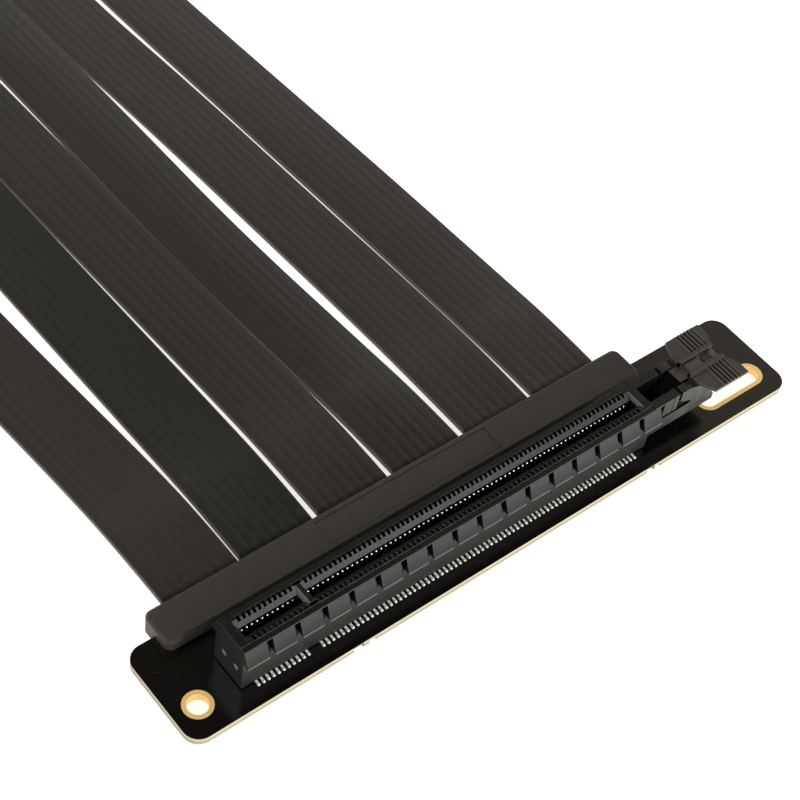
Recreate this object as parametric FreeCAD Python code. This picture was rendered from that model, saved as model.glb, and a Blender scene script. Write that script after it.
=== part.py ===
import FreeCAD, Part
import math
import os

# Flat-ribbon extension cable for an expansion card.
# A card socket on a small board, six flat ribbons and a plug board with an edge connector.
# Millimetres. X runs along the socket's slot, Y from the socket to the plug, Z up.
# The origin is on the resting surface, under the middle of the socket end.
# The socket is drawn from its first contact, its slot's middle plane and the board's top face.

V = FreeCAD.Vector

# Contacts, the same on the socket and on the plug's edge
PITCH = 1.0
SHORT_GROUP = 11
LONG_GROUP = 71
KEY_GAP = 3.0

# Socket board
CONTACT_1_FROM_END = 14.65
LAST_CONTACT_FROM_END = 37.35
BOARD_WIDTH = 20.0
BOARD_THICK = 1.6
BOARD_CORNER_R = 3.0
SLOT_FROM_FRONT = 7.7

# Mounting holes in the socket board, both lined with plated metal
HOLE_R = 1.85
HOLE_FROM_END = 4.65
HOLES_BEHIND_SLOT = -2.0
SLOTTED_HOLE_SPAN = 11.0
SLOTTED_HOLE_FROM_END = 10.65
PLATING_WALL = 0.1
PLATING_RIM = 0.8
PLATING_SKIN = 0.06

# Break-off scars left on the board's front edge, from the first contact
SCAR_DEEP = 0.5
SCAR_TOP_SKIN = 0.15
SCARS = ((16.9, 2.0, 1.2, 1.4), (83.5, 1.7, 0.3, 1.3))

# Socket housing
HOUSING_WIDTH = 7.44
HOUSING_HEIGHT = 11.0
HOUSING_STANDOFF = 0.4
HOUSING_LEFT = 2.9
SLOT_WIDTH = 1.7
SLOT_FLOOR = 2.2
SLOT_END = 0.75
SLOT_FAR_END = 1.15
KEY_WIDTH = 1.7
KEY_LEAD_WIDE = 0.45
KEY_POCKET_LONG = 1.6
KEY_POCKET_WIDE = 0.55
KEY_POCKET_FROM_MIDDLE = 2.0
KEY_POCKET_DEEP = 4.0
LEAD_IN_WIDE = 1.2
LEAD_IN_DEEP = 0.87
LEAD_IN_END = 0.57
LEAD_IN_FAR_END = 0.3
CAVITY_WALL = 0.74
RIM_WIDTH = 1.0
RIM_DROP = 0.2
PEG_R = 1.0
PEG_CLEAR = 0.1
PEG_END_CLEAR = 0.3
FAR_PEG_FROM_END = 2.6

# Contact cavities, open at the top and into the slot
CAVITY_WIDTH = 0.6
CAVITY_OUTER = 2.65
LINTEL_HEIGHT = 1.05

# Flared pads on the housing's long sides, with a notch between each two
PAD_COUNT = 17
PADS_PAST_LAST = 5.39
PAD_GAP = 1.2
PAD_FLARE = 1.25
PAD_HEIGHT = 3.5
PAD_LIP = 0.25
PAD_TOP_DROP = 0.3
NOTCH_DEEP = 0.87
NOTCH_ROOF = 0.3

# Latch end of the housing: a channel between two ears
WELL_WALL = 1.9
CHANNEL_WIDTH = 3.9
ARM_LOW = 3.3
ARM_FLOOR = 0.6
PIVOT_FROM_LAST = 12.0
PIVOT_OVER_ARM = 2.3
EAR_REACH = 7.3
EAR_TOP_END = -0.4
EAR_SHOULDER = 2.5
EAR_SHOULDER_DROP = 0.95
EAR_END_HEIGHT = 1.7
EAR_CORNER_R = 1.0
EAR_GAP_FROM_PIVOT = -3.0
EAR_GAP_WIDTH = 0.7
EAR_SLIT_FROM_PIVOT = -4.3
EAR_SLIT_WIDTH = 0.2
EAR_GROOVE_DEEP = 0.75
EAR_GROOVE_DROP = 0.4
EAR_GROOVE_HEIGHT = 0.75
EAR_GROOVE_RISE = 1.0
EAR_GROOVE_BEND = 0.3
EAR_GROOVE_END = 1.3
EAR_GROOVE_END_RISE = 0.5

# Moulding marks on the housing's left end
MARK_R = 0.38
MARK_DEEP = 0.15
MARK_HEIGHT = 4.6
MARK_Y = (-1.9, 1.3)

# Contacts: a flat foot on the board and a spring beam up through the housing floor
CONTACT_WIDTH = 0.5
CONTACT_THICK = 0.22
FOOT_TIP = 4.7
LEG_OUTER = 2.35
HEAD_BELOW_TOP = 1.75
HEAD_SLOPE = 0.2
HEAD_REACH = 0.35

# Retention latch
LATCH_WIDTH = 3.2
LATCH_BARREL_R = 1.5
TRUNNION_R = 0.9
TRUNNION_CLEAR = 0.05
TRUNNION_LENGTH = 1.0
TRUNNION_END_CLEAR = 0.15
STEM_BACK = 1.5
STEM_FRONT = 1.4
NOSE_REACH = 4.5
NOSE_SLANT = 0.2
NOSE_ROOT_TOP = 1.6
NOSE_TIP_TOP = 2.9
NOSE_TIP_LOW = 3.8
NOSE_ROOT_LOW = 4.4
NECK_SLANT = 0.4
LATCH_OVER_HOUSING = 0.3
WING_THICK = 0.6
WING_START = 1.45
WING_SWEEP = 1.6
WING_END = 11.3
WING_TIP_Y = 6.7
WING_INNER_Y = 3.4
WING_TIP_FLAT = 1.7
WING_HOLLOW_X = 1.05
WING_HOLLOW_Y = 2.85
RAIL_Y = 1.5
RAIL_WIDTH = 0.76
RAIL_HEIGHT = 0.8
RAIL_START = 1.0
RAIL_END = 9.6
RIDGE_COUNT = 6
RIDGE_PITCH = 0.86
RIDGE_WIDTH = 0.4
RIDGE_HEIGHT = 0.22
FIRST_RIDGE = 5.2
WEB_DROP = 0.25
WEB_PAD = 0.3
WEB_PAD_START = 2.1
WEB_PAD_CLEAR = 0.15
WEB_HOLE_START = 5.5
WEB_HOLE_LONG = 0.9
FAR_PAD_START = 8.0
FAR_PAD_LONG = 1.3

# Moulded bars that close over the boards' edges and the ribbons' ends
BAR_BEFORE_CONTACT_1 = 8.6
BAR_PAST_LAST = 13.3
BAR_DEPTH = 7.5
BAR_OVER_BOARD = 2.3
BAR_UNDER_BOARD = 0.8
BAR_REAR_OVERHANG = 3.6
BAR_CORNER_R = 1.4
BAR_EDGE = 0.45
PANEL_LENGTH = 37.7
PANEL_START = 33.9
PANEL_REAR = 1.1
PANEL_FRONT = 1.2
PANEL_DEEP = 0.12

# Ribbons
RIBBON_COUNT = 6
RIBBON_WIDTH = 15.2
RIBBON_THICK = 1.1
RIBBON_1_FROM_BAR_END = 11.7
RIBBON_6_FROM_BAR_END = 12.2
RIBBON_EXIT_OVER_BOARD = -0.1
PLUG_SHIFT = -4.8
PLUG_DISTANCE = 200.0

# Plug board
PLUG_BEFORE_CONTACT_1 = 6.0
PLUG_PAST_LAST = 11.0
PLUG_BOARD_DEPTH = 11.5
PLUG_GRIP = 3.4
PLUG_ROOT = 1.0
TONGUE_LENGTH = 9.0
TONGUE_END = 1.15
KEY_NOTCH_WIDTH = 1.9
KEY_NOTCH_DEEP = 7.6
BEVEL_LONG = 1.2
BEVEL_DEEP = 0.4
PLUG_CORNER_R = 1.0
FINGER_WIDTH = 0.7
FINGER_LENGTH = 4.6
FINGER_THICK = 0.05
FINGER_FROM_EDGE = 1.4

# Places that follow from the sizes above
SHORT_SPAN = (SHORT_GROUP - 1) * PITCH
LAST_CONTACT = SHORT_SPAN + KEY_GAP + (LONG_GROUP - 1) * PITCH
BOARD_LENGTH = CONTACT_1_FROM_END + LAST_CONTACT + LAST_CONTACT_FROM_END
BOARD_BOTTOM_Z = BAR_UNDER_BOARD
BOARD_TOP_Z = BOARD_BOTTOM_Z + BOARD_THICK
BOARD_FRONT_Y = -(BOARD_WIDTH + BAR_REAR_OVERHANG) / 2
BOARD_REAR_Y = BOARD_FRONT_Y + BOARD_WIDTH
BAR_REAR_Y = BOARD_REAR_Y + BAR_REAR_OVERHANG
BOARD_LEFT_X = -BOARD_LENGTH / 2
CONTACT_1_X = BOARD_LEFT_X + CONTACT_1_FROM_END
SLOT_Y = BOARD_FRONT_Y + SLOT_FROM_FRONT
SOCKET_PLACE = V(CONTACT_1_X, SLOT_Y, BOARD_TOP_Z)
KEY_X = SHORT_SPAN + KEY_GAP / 2
SLOT_RIGHT = LAST_CONTACT + SLOT_FAR_END
PIVOT_X = LAST_CONTACT + PIVOT_FROM_LAST
PIVOT_HEIGHT = ARM_LOW + PIVOT_OVER_ARM
HOUSING_RIGHT = PIVOT_X + EAR_REACH
ARM_START = SLOT_RIGHT + WELL_WALL
PAD_PITCH = (HOUSING_LEFT + LAST_CONTACT + PADS_PAST_LAST) / PAD_COUNT
PAD_BOTTOM = HOUSING_HEIGHT - PAD_HEIGHT
LINTEL_LOW = HOUSING_HEIGHT - LINTEL_HEIGHT
LATCH_TOP = HOUSING_HEIGHT + LATCH_OVER_HOUSING
BAR_LENGTH = BAR_BEFORE_CONTACT_1 + LAST_CONTACT + BAR_PAST_LAST
BAR_X = CONTACT_1_X - BAR_BEFORE_CONTACT_1
RIBBON_PITCH = (BAR_LENGTH - RIBBON_1_FROM_BAR_END - RIBBON_6_FROM_BAR_END) / (RIBBON_COUNT - 1)
HALF_SLOT = SLOT_WIDTH / 2
HALF_HOUSING = HOUSING_WIDTH / 2
HALF_CHANNEL = CHANNEL_WIDTH / 2
PLUG_FRONT_Y = BAR_REAR_Y + PLUG_DISTANCE
PLUG_PLACE = V(CONTACT_1_X + PLUG_SHIFT, PLUG_FRONT_Y, BOARD_TOP_Z)
MID_Z = BOARD_TOP_Z + RIBBON_EXIT_OVER_BOARD
LAID_Z = RIBBON_THICK / 2


def box(x0, x1, y0, y1, z0, z1):
    """A box between two corners."""
    return Part.makeBox(x1 - x0, y1 - y0, z1 - z0, V(x0, y0, z0))


def prism_x(points, x0, x1):
    """A (y, z) polygon drawn out along X."""
    wire = Part.makePolygon([V(x0, y, z) for y, z in points + [points[0]]])
    return Part.Face(wire).extrude(V(x1 - x0, 0, 0))


def prism_y(points, y0, y1):
    """An (x, z) polygon drawn out along Y."""
    wire = Part.makePolygon([V(x, y0, z) for x, z in points + [points[0]]])
    return Part.Face(wire).extrude(V(0, y1 - y0, 0))


def prism_z(points, z0, z1):
    """An (x, y) polygon drawn out along Z."""
    wire = Part.makePolygon([V(x, y, z0) for x, y in points + [points[0]]])
    return Part.Face(wire).extrude(V(0, 0, z1 - z0))


def stadium(x, y, span, r, z0, z1):
    """An upright prism with round ends, span long between their centres; a cylinder if span is 0."""
    if span == 0:
        return Part.makeCylinder(r, z1 - z0, V(x, y, z0))
    left = x - span / 2
    right = x + span / 2
    edges = [
        Part.LineSegment(V(left, y - r, z0), V(right, y - r, z0)).toShape(),
        Part.Arc(V(right, y - r, z0), V(right + r, y, z0), V(right, y + r, z0)).toShape(),
        Part.LineSegment(V(right, y + r, z0), V(left, y + r, z0)).toShape(),
        Part.Arc(V(left, y + r, z0), V(left - r, y, z0), V(left, y - r, z0)).toShape(),
    ]
    return Part.Face(Part.Wire(edges)).extrude(V(0, 0, z1 - z0))


def upright_edges(shape):
    """The edges that run along Z for the shape's whole height."""
    height = shape.BoundBox.ZLength
    found = []
    for edge in shape.Edges:
        run = edge.BoundBox
        if run.ZLength > 0.99 * height and run.XLength < 0.001 and run.YLength < 0.001:
            found.append(edge)
    return found


def contact_places():
    """X of each contact, from the first: a short group, the key's gap and a long group."""
    short = [i * PITCH for i in range(SHORT_GROUP)]
    start = SHORT_SPAN + KEY_GAP
    return short + [start + i * PITCH for i in range(LONG_GROUP)]


def save(name, shape, place=None):
    """Write one node's STEP file, carried from its own drawing place to the part's frame."""
    done = shape.copy()
    if place:
        done.translate(place)
    done.exportStep("parts/" + name + ".step")
    print(name, "solids", len(done.Solids), "volume", round(done.Volume, 2), "valid", done.isValid())


# Socket board, drawn in the part's frame
HOLE_X = BOARD_LEFT_X + HOLE_FROM_END
HOLE_Y = SLOT_Y + HOLES_BEHIND_SLOT
SLOTTED_X = BOARD_LEFT_X + BOARD_LENGTH - SLOTTED_HOLE_FROM_END
PEG_X = (KEY_X, ARM_START - FAR_PEG_FROM_END)


def make_board():
    right = BOARD_LEFT_X + BOARD_LENGTH
    board = box(BOARD_LEFT_X, right, BOARD_FRONT_Y, BOARD_REAR_Y, BOARD_BOTTOM_Z, BOARD_TOP_Z)
    board = board.makeFillet(BOARD_CORNER_R, upright_edges(board))
    cuts = []
    for x, span in ((HOLE_X, 0), (SLOTTED_X, SLOTTED_HOLE_SPAN)):
        cuts.append(stadium(x, HOLE_Y, span, HOLE_R + PLATING_WALL, BOARD_BOTTOM_Z, BOARD_TOP_Z))
    for x in PEG_X:
        foot = V(CONTACT_1_X + x, SLOT_Y, BOARD_BOTTOM_Z)
        cuts.append(Part.makeCylinder(PEG_R + PEG_CLEAR, BOARD_THICK, foot))
    for start, whole, bridge, half in SCARS:
        x = CONTACT_1_X + start
        back = BOARD_FRONT_Y + SCAR_DEEP
        cuts.append(box(x, x + whole, BOARD_FRONT_Y, back, BOARD_BOTTOM_Z, BOARD_TOP_Z - SCAR_TOP_SKIN))
        x += whole + bridge
        cuts.append(box(x, x + half, BOARD_FRONT_Y, back, BOARD_BOTTOM_Z, BOARD_BOTTOM_Z + BOARD_THICK / 2))
    return board.cut(cuts)


def make_plating(x, span):
    """A metal lining: a thin tube through the board with a flat ring on each face."""
    low = BOARD_BOTTOM_Z - PLATING_SKIN
    high = BOARD_TOP_Z + PLATING_SKIN
    tube = stadium(x, HOLE_Y, span, HOLE_R + PLATING_WALL, low, high)
    under = stadium(x, HOLE_Y, span, HOLE_R + PLATING_RIM, low, BOARD_BOTTOM_Z)
    over = stadium(x, HOLE_Y, span, HOLE_R + PLATING_RIM, BOARD_TOP_Z, high)
    return tube.fuse([under, over]).cut(stadium(x, HOLE_Y, span, HOLE_R, low, high)).removeSplitter()


# Socket housing, drawn from the first contact, the slot's middle and the board's top

def housing_block():
    """The side outline drawn out across the housing: a standing body, then raised arms with sloped ends."""
    shoulder = HOUSING_HEIGHT - EAR_SHOULDER_DROP
    end_top = ARM_LOW + EAR_END_HEIGHT
    outline = [
        (-HOUSING_LEFT, HOUSING_STANDOFF), (ARM_START, HOUSING_STANDOFF), (ARM_START, ARM_LOW),
        (HOUSING_RIGHT, ARM_LOW), (HOUSING_RIGHT, end_top), (PIVOT_X + EAR_SHOULDER, shoulder),
        (PIVOT_X + EAR_TOP_END, HOUSING_HEIGHT), (-HOUSING_LEFT, HOUSING_HEIGHT),
    ]
    block = prism_y(outline, -HALF_HOUSING, HALF_HOUSING)
    bends = []
    for edge in block.Edges:
        run = edge.BoundBox
        for x, z in ((HOUSING_RIGHT, end_top), (PIVOT_X + EAR_SHOULDER, shoulder)):
            if abs(run.XMax - x) + abs(run.XMin - x) + abs(run.ZMax - z) + abs(run.ZMin - z) < 0.01:
                bends.append(edge)
    return block.makeFillet(EAR_CORNER_R, bends)


def pad_left(k):
    return -HOUSING_LEFT + k * PAD_PITCH


def side_pads(side):
    """Pads that flare outwards going down, on one long side."""
    wall = side * HALF_HOUSING
    out = side * (HALF_HOUSING + PAD_FLARE)
    top = HOUSING_HEIGHT - PAD_TOP_DROP
    outline = [(wall, PAD_BOTTOM), (out, PAD_BOTTOM), (out, PAD_BOTTOM + PAD_LIP), (wall, top)]
    width = PAD_PITCH - PAD_GAP
    return [prism_x(outline, pad_left(k), pad_left(k) + width) for k in range(PAD_COUNT)]


def side_notches(side):
    """The pockets between the pads, cut into the wall under a thin roof."""
    outer = side * HALF_HOUSING
    inner = side * (HALF_HOUSING - NOTCH_DEEP)
    low_y = min(outer, inner)
    high_y = max(outer, inner)
    roof = HOUSING_HEIGHT - RIM_DROP - NOTCH_ROOF
    cuts = []
    for k in range(PAD_COUNT):
        right = pad_left(k + 1)
        cuts.append(box(right - PAD_GAP, right, low_y, high_y, PAD_BOTTOM, roof))
    return cuts


def side_cavities(side):
    """One cavity for each contact, open at the top, and a groove under a lintel from them to the slot."""
    wall = side * (HALF_SLOT + CAVITY_WALL)
    outer = side * CAVITY_OUTER
    low_y = min(wall, outer)
    high_y = max(wall, outer)
    half = CAVITY_WIDTH / 2
    places = contact_places()
    cuts = [box(x - half, x + half, low_y, high_y, SLOT_FLOOR, HOUSING_HEIGHT) for x in places]
    groups = (places[0], places[SHORT_GROUP - 1]), (places[SHORT_GROUP], places[-1])
    for first, last in groups:
        cuts.append(box(first - half, last + half, min(0, wall), max(0, wall), SLOT_FLOOR, LINTEL_LOW))
    return cuts


def lead_in(left, right, left_slope, right_slope):
    """The funnel over one length of slot: one slope over lintels and teeth, and a slope at both ends."""
    low = HOUSING_HEIGHT - LEAD_IN_DEEP
    top = HOUSING_HEIGHT
    wide = HALF_SLOT + LEAD_IN_WIDE
    first = left - left_slope
    last = right + right_slope
    across = [(-HALF_SLOT, low), (HALF_SLOT, low), (wide, top), (-wide, top)]
    along = [(left, low), (right, low), (last, top), (first, top)]
    return prism_x(across, first, last).common(prism_y(along, -wide, wide))


def slot_cuts():
    """The card slot in two lengths, one each side of the key, with its lead-ins and the key's pockets."""
    key_left = KEY_X - KEY_WIDTH / 2
    key_right = KEY_X + KEY_WIDTH / 2
    pocket_low = HOUSING_HEIGHT - KEY_POCKET_DEEP
    cuts = [
        box(-SLOT_END, key_left, -HALF_SLOT, HALF_SLOT, SLOT_FLOOR, HOUSING_HEIGHT),
        box(key_right, SLOT_RIGHT, -HALF_SLOT, HALF_SLOT, SLOT_FLOOR, HOUSING_HEIGHT),
        lead_in(-SLOT_END, key_left, LEAD_IN_END, KEY_LEAD_WIDE),
        lead_in(key_right, SLOT_RIGHT, KEY_LEAD_WIDE, LEAD_IN_FAR_END),
    ]
    for side in (-1, 1):
        near = side * KEY_POCKET_FROM_MIDDLE
        far = side * (KEY_POCKET_FROM_MIDDLE + KEY_POCKET_WIDE)
        left = KEY_X - KEY_POCKET_LONG / 2
        right = KEY_X + KEY_POCKET_LONG / 2
        cuts.append(box(left, right, min(near, far), max(near, far), pocket_low, HOUSING_HEIGHT))
    return cuts


def latch_end_cuts():
    """The channel for the latch, its pivot bores, and the gaps that free the two ears."""
    floor = ARM_LOW + ARM_FLOOR
    cuts = [box(ARM_START, HOUSING_RIGHT, -HALF_CHANNEL, HALF_CHANNEL, floor, HOUSING_HEIGHT)]
    gap = PIVOT_X + EAR_GAP_FROM_PIVOT
    groove_top = PAD_BOTTOM - EAR_GROOVE_DROP
    cuts.append(box(gap, gap + EAR_GAP_WIDTH, -HALF_HOUSING, HALF_HOUSING, groove_top, HOUSING_HEIGHT))
    bore_reach = HALF_CHANNEL + TRUNNION_LENGTH + TRUNNION_END_CLEAR - (CHANNEL_WIDTH - LATCH_WIDTH) / 2
    bore_start = V(PIVOT_X, -bore_reach, PIVOT_HEIGHT)
    cuts.append(Part.makeCylinder(TRUNNION_R + TRUNNION_CLEAR, 2 * bore_reach, bore_start, V(0, 1, 0)))
    start = pad_left(PAD_COUNT) - PAD_GAP
    low = groove_top - EAR_GROOVE_HEIGHT
    groove = [
        (start, low), (PIVOT_X + EAR_GROOVE_BEND, low), (PIVOT_X + EAR_GROOVE_END, low + EAR_GROOVE_END_RISE),
        (gap + EAR_GAP_WIDTH, PAD_BOTTOM + EAR_GROOVE_RISE), (gap + EAR_GAP_WIDTH, groove_top),
        (start, groove_top),
    ]
    slit = PIVOT_X + EAR_SLIT_FROM_PIVOT
    deep = HALF_HOUSING - EAR_GROOVE_DEEP
    for low_y, high_y in ((-HALF_HOUSING, -deep), (deep, HALF_HOUSING)):
        cuts.append(prism_y(groove, low_y, high_y))
        cuts.append(box(slit, slit + EAR_SLIT_WIDTH, low_y, high_y, groove_top, HOUSING_HEIGHT))
    return cuts


def make_housing():
    body = housing_block().fuse(side_pads(-1) + side_pads(1))
    cuts = slot_cuts() + latch_end_cuts()
    for side in (-1, 1):
        cuts += side_notches(side) + side_cavities(side)
        outer = side * HALF_HOUSING
        inner = side * (HALF_HOUSING - RIM_WIDTH)
        drop = HOUSING_HEIGHT - RIM_DROP
        cuts.append(box(-HOUSING_LEFT, ARM_START, min(outer, inner), max(outer, inner), drop, HOUSING_HEIGHT))
    for y in MARK_Y:
        cuts.append(Part.makeCylinder(MARK_R, MARK_DEEP, V(-HOUSING_LEFT, y, MARK_HEIGHT), V(1, 0, 0)))
    body = body.cut(cuts)
    peg_height = HOUSING_STANDOFF + BOARD_THICK - PEG_END_CLEAR
    pegs = [Part.makeCylinder(PEG_R, peg_height, V(x, 0, PEG_END_CLEAR - BOARD_THICK)) for x in PEG_X]
    return body.fuse(pegs).removeSplitter()


def make_contacts(side):
    """One row of spring contacts, each its own solid."""
    head = HALF_SLOT - HEAD_REACH
    top = HOUSING_HEIGHT - HEAD_BELOW_TOP
    outline = [
        (FOOT_TIP, 0), (FOOT_TIP, CONTACT_THICK), (LEG_OUTER, CONTACT_THICK),
        (head + CONTACT_THICK, top), (head, top - HEAD_SLOPE), (LEG_OUTER - CONTACT_THICK, 0),
    ]
    outline = [(side * y, z) for y, z in outline]
    half = CONTACT_WIDTH / 2
    return Part.makeCompound([prism_x(outline, x - half, x + half) for x in contact_places()])


# Retention latch, drawn from its pivot's X, the slot's middle and the board's top

def wing(side):
    """One ribbed thumb wing with a hollow-curved outer end."""
    low = LATCH_TOP - WING_THICK
    inner = side * RAIL_Y
    tip = side * WING_TIP_Y
    bend = side * WING_INNER_Y
    end_in = V(RAIL_END - RAIL_WIDTH / 2, inner, low)
    end_mid = V(RAIL_END + WING_HOLLOW_X, side * WING_HOLLOW_Y, low)
    end_out = V(WING_END, side * (WING_TIP_Y - WING_TIP_FLAT), low)
    edges = [
        Part.LineSegment(V(WING_START, inner, low), V(WING_START, bend, low)).toShape(),
        Part.LineSegment(V(WING_START, bend, low), V(WING_START + WING_SWEEP, tip, low)).toShape(),
        Part.LineSegment(V(WING_START + WING_SWEEP, tip, low), V(WING_END, tip, low)).toShape(),
        Part.LineSegment(V(WING_END, tip, low), end_out).toShape(),
        Part.Arc(end_out, end_mid, end_in).toShape(),
        Part.LineSegment(end_in, V(WING_START, inner, low)).toShape(),
    ]
    plate = Part.Face(Part.Wire(edges)).extrude(V(0, 0, WING_THICK))
    pieces = [plate]
    ridge_in = side * (RAIL_Y + RAIL_WIDTH / 2)
    for k in range(RIDGE_COUNT):
        x = FIRST_RIDGE + k * RIDGE_PITCH
        half = RIDGE_WIDTH / 2
        outline = [
            (x - half, LATCH_TOP), (x + half, LATCH_TOP),
            (x + half / 2, LATCH_TOP + RIDGE_HEIGHT), (x - half / 2, LATCH_TOP + RIDGE_HEIGHT),
        ]
        pieces.append(prism_y(outline, min(ridge_in, tip), max(ridge_in, tip)))
    rail_mid = (RAIL_START + RAIL_END) / 2
    span = RAIL_END - RAIL_START - RAIL_WIDTH
    rail = stadium(rail_mid, inner, span, RAIL_WIDTH / 2, low, LATCH_TOP + RAIL_HEIGHT)
    pieces.append(rail)
    return pieces


def make_latch():
    half = LATCH_WIDTH / 2
    top = LATCH_TOP - WEB_DROP
    low = LATCH_TOP - WING_THICK
    stem = [
        (-STEM_BACK, PIVOT_HEIGHT), (STEM_FRONT, PIVOT_HEIGHT), (STEM_FRONT, low), (WEB_PAD_START, top),
        (NECK_SLANT - STEM_BACK, top), (-STEM_BACK - NECK_SLANT, LATCH_TOP - NOSE_ROOT_TOP),
        (-NOSE_REACH, LATCH_TOP - NOSE_TIP_TOP), (NOSE_SLANT - NOSE_REACH, LATCH_TOP - NOSE_TIP_LOW),
        (-STEM_BACK, LATCH_TOP - NOSE_ROOT_LOW),
    ]
    body = prism_y(stem, -half, half)
    barrel = Part.makeCylinder(LATCH_BARREL_R, LATCH_WIDTH, V(0, -half, PIVOT_HEIGHT), V(0, 1, 0))
    reach = half + TRUNNION_LENGTH
    pins = Part.makeCylinder(TRUNNION_R, 2 * reach, V(0, -reach, PIVOT_HEIGHT), V(0, 1, 0))
    web = box(0, RAIL_END - RAIL_WIDTH, -RAIL_Y, RAIL_Y, low, top)
    pad_half = RAIL_Y - RAIL_WIDTH / 2 - WEB_PAD_CLEAR
    hole_end = WEB_HOLE_START + WEB_HOLE_LONG
    far_end = FAR_PAD_START + FAR_PAD_LONG
    near_pad = box(WEB_PAD_START, WEB_HOLE_START, -pad_half, pad_half, top, top + WEB_PAD)
    far_pad = box(FAR_PAD_START, far_end, -pad_half, pad_half, low, top + WEB_PAD)
    latch = body.fuse([barrel, pins, web, near_pad, far_pad] + wing(-1) + wing(1))
    hole = box(WEB_HOLE_START, hole_end, -pad_half, pad_half, low, top)
    return latch.cut(hole).removeSplitter()


# Moulded bars and the plug

def make_bar(x0, y0, grip_front, grip, panel):
    """A rounded bar with a groove along one long side for the board's edge."""
    z0 = 0
    z1 = BOARD_TOP_Z + BAR_OVER_BOARD
    y1 = y0 + BAR_DEPTH
    bar = box(x0, x0 + BAR_LENGTH, y0, y1, z0, z1)
    bar = bar.makeFillet(BAR_CORNER_R, upright_edges(bar))
    rims = [e for e in bar.Edges if e.BoundBox.ZLength < 0.001]
    bar = bar.makeChamfer(BAR_EDGE, rims)
    if grip_front:
        cuts = [box(x0, x0 + BAR_LENGTH, y0, y0 + grip, BOARD_BOTTOM_Z, BOARD_TOP_Z)]
    else:
        cuts = [box(x0, x0 + BAR_LENGTH, y1 - grip, y1, BOARD_BOTTOM_Z, BOARD_TOP_Z)]
    if panel:
        left = x0 + PANEL_START
        cuts.append(box(left, left + PANEL_LENGTH, y0 + PANEL_FRONT, y1 - PANEL_REAR, z1 - PANEL_DEEP, z1))
    return bar.cut(cuts)


def make_plug_board():
    """The plug's board: a body held in the bar and a tongue with a key notch and bevelled edge."""
    y0 = BAR_DEPTH - PLUG_GRIP
    shoulder = y0 + PLUG_BOARD_DEPTH
    edge = shoulder + TONGUE_LENGTH
    left = -PLUG_BEFORE_CONTACT_1
    root = y0 + PLUG_ROOT
    tongue_left = -TONGUE_END
    tongue_right = LAST_CONTACT + TONGUE_END
    notch_left = KEY_X - KEY_NOTCH_WIDTH / 2
    notch_right = KEY_X + KEY_NOTCH_WIDTH / 2
    body = box(left, LAST_CONTACT + PLUG_PAST_LAST, y0, shoulder, -BOARD_THICK, 0)
    far_corners = [e for e in upright_edges(body) if e.BoundBox.YMin > shoulder - 0.001]
    body = body.makeFillet(PLUG_CORNER_R, far_corners)
    section = [
        (root, -BOARD_THICK), (edge - BEVEL_LONG, -BOARD_THICK), (edge, BEVEL_DEEP - BOARD_THICK),
        (edge, -BEVEL_DEEP), (edge - BEVEL_LONG, 0), (root, 0),
    ]
    tongue = prism_x(section, tongue_left, tongue_right)
    notch = box(notch_left, notch_right, edge - KEY_NOTCH_DEEP, edge, -BOARD_THICK, 0)
    return body.fuse(tongue).cut(notch).removeSplitter()


def make_fingers(z0):
    """One face's contact fingers, each its own solid."""
    far = BAR_DEPTH - PLUG_GRIP + PLUG_BOARD_DEPTH + TONGUE_LENGTH - FINGER_FROM_EDGE
    half = FINGER_WIDTH / 2
    near = far - FINGER_LENGTH
    pads = [box(x - half, x + half, near, far, z0, z0 + FINGER_THICK) for x in contact_places()]
    return Part.makeCompound(pads)


# Ribbons. Each route leaves the socket's bar level, comes down to the surface, drifts
# sideways along it and rises again to meet the plug's bar level.
# A bend's place is a share of the whole run, and a drift is measured from the ribbon's exit.
EXIT_Y = BAR_REAR_Y
BEND_SHARES = (0.055, 0.145, 0.32, 0.51, 0.695, 0.855, 0.945)
DRIFTS = (
    (0.0, 0.1, -1.6, -3.6, -4.2, -4.8, PLUG_SHIFT),
    (0.0, 0.2, -1.1, -2.4, -3.6, -4.7, PLUG_SHIFT),
    (0.0, 0.15, -0.9, -2.3, -3.7, -4.7, PLUG_SHIFT),
    (0.0, 0.4, -1.25, -2.7, -4.2, -4.8, PLUG_SHIFT),
    (0.0, 1.2, -1.15, -3.2, -4.9, -4.8, PLUG_SHIFT),
    (0.0, 0.6, -0.85, -3.8, -4.9, -4.8, PLUG_SHIFT),
)


def rounded_path(points, label):
    """Straight runs joined by tangent arcs, each as large as its two runs allow."""
    edges = []
    radii = []
    last = points[0]
    for before, here, after in zip(points, points[1:], points[2:]):
        back = before - here
        ahead = after - here
        trim = 0.45 * min(back.Length, ahead.Length)
        turn = math.pi - back.getAngle(ahead)
        back.normalize()
        ahead.normalize()
        start = here + back * trim
        end = here + ahead * trim
        radius = trim / math.tan(turn / 2)
        inward = back + ahead
        inward.normalize()
        centre = here + inward * (radius / math.cos(turn / 2))
        middle = centre - inward * radius
        edges.append(Part.LineSegment(last, start).toShape())
        edges.append(Part.Arc(start, middle, end).toShape())
        radii.append(round(radius, 1))
        last = end
    edges.append(Part.LineSegment(last, points[-1]).toShape())
    print(label, "arc radii", radii)
    return Part.Wire(edges)


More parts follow.
